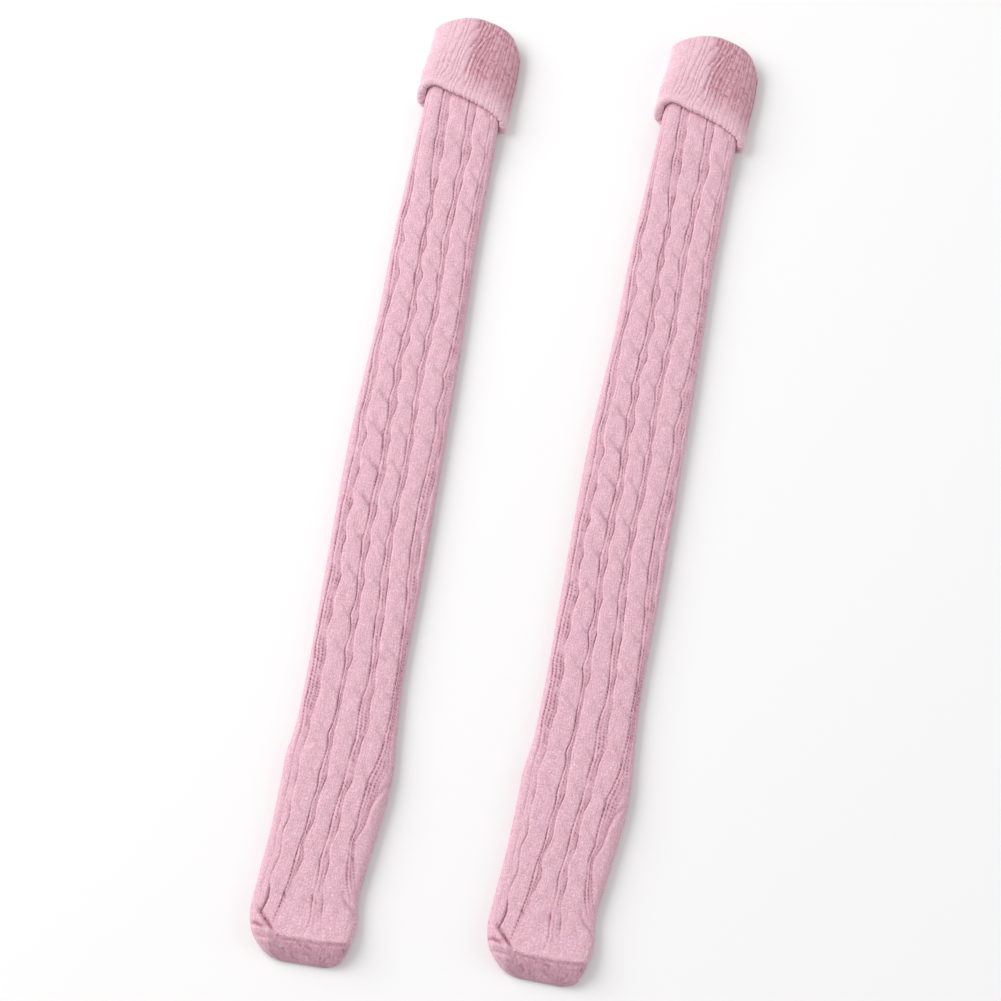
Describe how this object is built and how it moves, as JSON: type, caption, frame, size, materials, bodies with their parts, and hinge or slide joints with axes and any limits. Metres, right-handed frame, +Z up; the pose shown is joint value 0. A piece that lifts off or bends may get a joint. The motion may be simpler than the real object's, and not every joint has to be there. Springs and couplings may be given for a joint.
{
  "type": "pair of over-the-knee socks",
  "caption": "Pair of long cable-knit over-the-knee socks laid flat side by side, toes down, with ribbed cuffs turned down over the tops.",
  "frame": {"origin": "centre of the pair's footprint on the surface they lie on", "axes": "+Z up from the surface, +Y from the toes to the cuffs, +X from the left sock to the right one as seen from above"},
  "size_m": [0.2782, 0.8181, 0.0192],
  "materials": {
    "cable_knit": "matt cable-knitted acrylic and wool yarn, slightly fuzzy",
    "rib_knit": "matt fine rib-knitted acrylic and wool yarn, slightly fuzzy"
  },
  "bodies": {
    "root": {"left_leg_foot": "cable_knit", "left_cuff": "rib_knit", "right_leg_foot": "cable_knit", "right_cuff": "rib_knit"}
  },
  "joints": []
}
